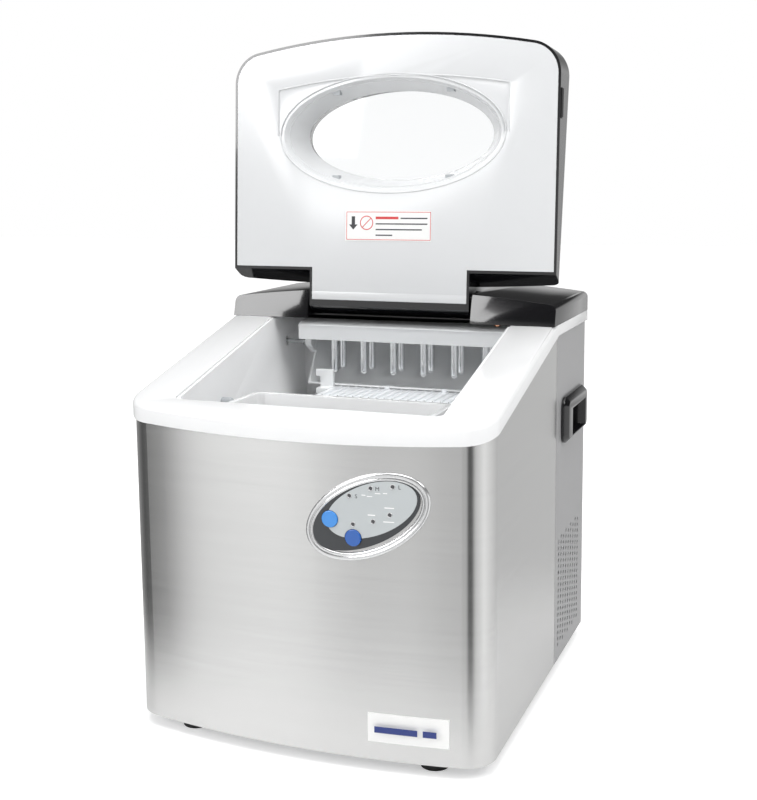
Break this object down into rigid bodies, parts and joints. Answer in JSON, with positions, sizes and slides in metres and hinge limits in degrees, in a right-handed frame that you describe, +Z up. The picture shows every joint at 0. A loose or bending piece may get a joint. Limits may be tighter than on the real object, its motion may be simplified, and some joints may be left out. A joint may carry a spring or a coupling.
{
  "type": "ice maker",
  "caption": "Counter-top ice maker with a bowed steel cabinet, a hinged windowed lid, tilting water tray, lift-out basket and side grips.",
  "frame": {"origin": "on the surface it stands on, under the middle of the cabinet's overall width and depth", "axes": "+X to the right seen from the front, +Y to the back, +Z up"},
  "size_m": [0.307, 0.332, 0.556],
  "materials": {
    "steel": "brushed, fine horizontal grain",
    "grey_panel": "satin grey coating",
    "white_gloss": "glossy moulded",
    "white_tub": "smooth moulded",
    "black_gloss": "glossy moulded",
    "rubber": "matt",
    "galvanised": "plain sheet",
    "clear": "clear moulded window",
    "grey_clip": "satin",
    "chrome": "polished plating",
    "label": "printed film",
    "foam": "expanded foam",
    "grey_smoke": "translucent moulded",
    "aluminium": "bare",
    "copper": "drawn tube",
    "black_paint": "satin enamel",
    "black_matte": "moulded",
    "white_matte": "moulded",
    "silver_plastic": "metallised",
    "face_black": "glossy printed",
    "face_grey": "printed",
    "blue": "glossy moulded",
    "lamp": "tinted lens",
    "board": "circuit board",
    "steel_zinc": "zinc plated",
    "silicone": "soft tube"
  },
  "bodies": {
    "cabinet": {"base_pan": "galvanised", "rubber_feet": "rubber", "front_wrap": "steel", "side_panel_right": "grey_panel", "side_panel_left": "grey_panel", "back_panel": "grey_panel", "top_frame": "white_gloss", "rear_deck": "black_gloss", "inner_tub": "white_tub", "insulation": "foam", "tray_motor": "black_matte", "evaporator_plate": "aluminium", "evaporator_fingers": "chrome", "evaporator_tube": "copper", "evaporator_cover": "grey_smoke", "ice_sensors": "grey_clip", "compressor": "black_paint", "compressor_mounts": "rubber", "condenser": "aluminium", "fan_shroud": "black_matte", "fan_motor": "steel_zinc", "gas_lines": "copper", "dryer": "copper", "solenoid_valve": "black_matte", "water_pump": "black_matte", "water_hose": "silicone", "drain_pipe": "silicone", "cord_gland": "black_matte", "back_screws": "steel_zinc", "control_bezel": "silver_plastic", "control_face": "face_black", "control_label": "face_grey", "indicator_lamps": "lamp", "control_board": "board", "badge_plate": "label", "side_handle_right": "black_gloss", "side_handle_left": "black_gloss"},
    "lid": {"lid_shell": "black_gloss", "lid_liner": "white_gloss", "window_pane": "clear", "window_clips": "grey_clip", "hinge_pins": "steel_zinc", "safety_label": "label"},
    "tray": {"water_tray": "grey_smoke", "inlet_pivot": "clear", "motor_shaft": "steel_zinc"},
    "rake": {"rake_plate": "white_matte", "rake_bracket": "grey_smoke"},
    "basket": {"ice_basket": "white_gloss"},
    "fan": {"fan_blade": "black_matte"},
    "impeller": {"pump_impeller": "white_matte"},
    "start_button": {"start_button": "blue"},
    "select_button": {"select_button": "blue"},
    "drain_cap": {"drain_cap": "black_matte"}
  },
  "joints": [
    {"name": "lid_hinge", "type": "hinge", "parent": "cabinet", "child": "lid", "pos_m": [0, 0.0515, 0.3293], "axis": [1, 0, 0], "range_deg": [0, 107.75]},
    {"name": "tray_tilt", "type": "hinge", "parent": "cabinet", "child": "tray", "pos_m": [0, 0.0614, 0.2845], "axis": [1, 0, 0], "range_deg": [-60, 0]},
    {"name": "rake_slide", "type": "slide", "parent": "cabinet", "child": "rake", "axis": [0, -1, 0], "range_m": [0, 0.0105]},
    {"name": "basket_lift", "type": "slide", "parent": "cabinet", "child": "basket", "axis": [0, 0, -1], "range_m": [-0.15, 0]},
    {"name": "fan_spin", "type": "hinge", "parent": "cabinet", "child": "fan", "pos_m": [0.104, 0.104, 0.088], "axis": [1, 0, 0], "continuous": true},
    {"name": "pump_spin", "type": "hinge", "parent": "cabinet", "child": "impeller", "pos_m": [-0.06, -0.06, 0.022], "axis": [0, 0, 1], "continuous": true},
    {"name": "start_press", "type": "slide", "parent": "cabinet", "child": "start_button", "axis": [0, 1, 0], "range_m": [0, 0.0012], "stiffness_N_per_m": 800},
    {"name": "select_press", "type": "slide", "parent": "cabinet", "child": "select_button", "axis": [0, 1, 0], "range_m": [0, 0.0012], "stiffness_N_per_m": 800},
    {"name": "drain_pull", "type": "slide", "parent": "cabinet", "child": "drain_cap", "axis": [0, 1, 0], "range_m": [0, 0.014]}
  ],
  "couplings": [
    {"joint": "rake_slide", "follows": "tray_tilt", "m_per_rad": -0.01}
  ]
}
